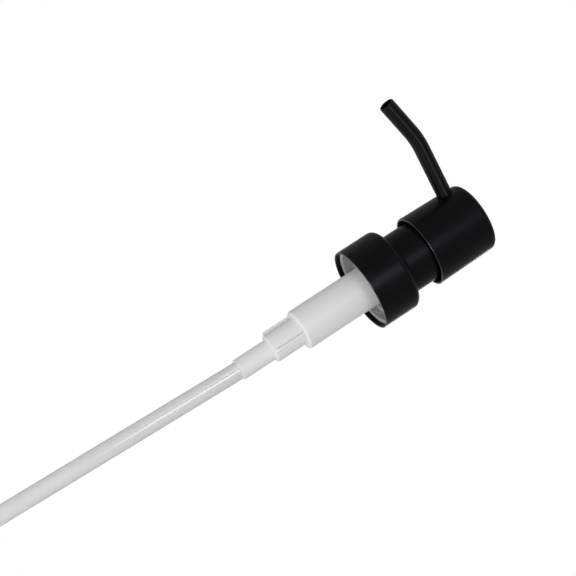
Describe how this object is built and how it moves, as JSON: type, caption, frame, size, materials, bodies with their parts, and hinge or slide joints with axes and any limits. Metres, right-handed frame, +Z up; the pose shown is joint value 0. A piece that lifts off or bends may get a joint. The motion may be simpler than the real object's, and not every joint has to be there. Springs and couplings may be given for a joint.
{
  "type": "lotion dispenser pump head",
  "caption": "Screw-on lotion pump head with a press head, bent spout, ball valves, spring-returned piston and a long dip tube.",
  "frame": {"origin": "centre of the neck gasket's underside, where the top of the bottle's neck seats, on the pump's axis", "axes": "+Z up the pump's axis towards the press head, +X the way the spout points, +Y to the spout's left seen from above"},
  "size_m": [0.0716, 0.0324, 0.2228],
  "materials": {
    "black_coated_metal": "satin",
    "white_plastic": "satin",
    "soft_white_plastic": "matt",
    "natural_tube": "glossy, translucent",
    "black_plastic": "satin",
    "seal_rubber": "matt",
    "spring_steel": "drawn wire",
    "ball_steel": "polished"
  },
  "bodies": {
    "housing": {"pump_housing": "white_plastic", "neck_gasket": "soft_white_plastic", "dip_tube": "natural_tube", "chaplet": "white_plastic", "stem_wiper": "soft_white_plastic", "spring_seat": "white_plastic", "return_spring": "spring_steel"},
    "closure": {"collar_shell": "black_coated_metal", "closure_insert": "white_plastic"},
    "piston": {"piston": "soft_white_plastic"},
    "press_head": {"head_shell": "black_coated_metal", "head_core": "black_plastic", "spout_tube": "black_coated_metal", "spout_liner": "black_plastic", "spout_seal": "seal_rubber", "stem": "white_plastic", "stem_foot": "white_plastic", "ball_cage": "white_plastic"},
    "inlet_ball": {"inlet_ball": "ball_steel"},
    "outlet_ball": {"outlet_ball": "ball_steel"}
  },
  "joints": [
    {"name": "closure_turn", "type": "hinge", "parent": "housing", "child": "closure", "pos_m": [0, 0, 0], "axis": [0, 0, 1], "continuous": true},
    {"name": "head_press", "type": "slide", "parent": "housing", "child": "piston", "axis": [0, 0, -1], "range_m": [0, 0.0105], "stiffness_N_per_m": 900, "springref_m": -0.006, "deforming": ["return_spring"]},
    {"name": "spout_swivel", "type": "hinge", "parent": "piston", "child": "press_head", "pos_m": [0, 0, 0], "axis": [0, 0, 1], "continuous": true},
    {"name": "inlet_valve", "type": "slide", "parent": "housing", "child": "inlet_ball", "axis": [0, 0, 1], "range_m": [0, 0.0013]},
    {"name": "outlet_valve", "type": "slide", "parent": "press_head", "child": "outlet_ball", "axis": [0, 0, 1], "range_m": [0, 0.0014]}
  ]
}
